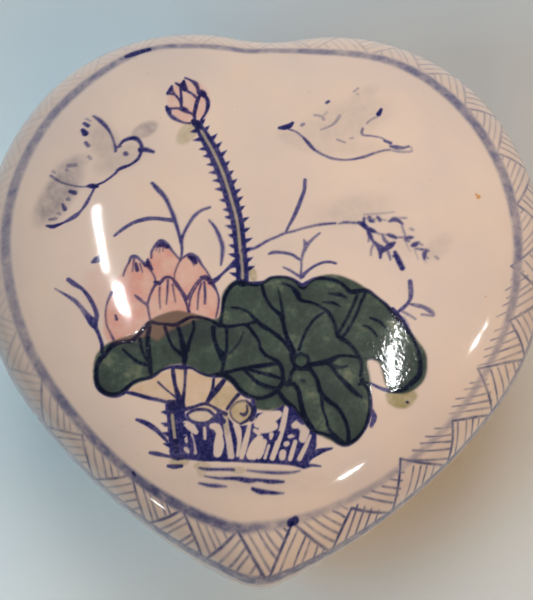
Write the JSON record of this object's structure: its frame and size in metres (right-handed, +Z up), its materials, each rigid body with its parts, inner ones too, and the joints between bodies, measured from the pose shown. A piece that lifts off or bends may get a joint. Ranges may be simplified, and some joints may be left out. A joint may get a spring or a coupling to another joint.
{
  "type": "trinket box",
  "caption": "Heart-shaped glazed porcelain trinket box with a domed, painted lift-off lid over a locating gallery.",
  "frame": {"origin": "on the surface the box stands on, under the middle of its bounding box", "axes": "+Z up, the way the lid lifts; the heart's point is toward -Y and its cleft toward +Y; +X to the right"},
  "size_m": [0.1, 0.0994, 0.0404],
  "materials": {
    "base_porcelain": "clear-glazed porcelain body, unglazed foot ring and seat",
    "lid_porcelain": "clear-glazed porcelain with cobalt underglaze painting and enamel colours"
  },
  "bodies": {
    "base": {"base": "base_porcelain"},
    "lid": {"lid": "lid_porcelain"}
  },
  "joints": [
    {"name": "lid_lift", "type": "slide", "parent": "base", "child": "lid", "axis": [0, 0, 1], "range_m": [0, 0.06]}
  ]
}
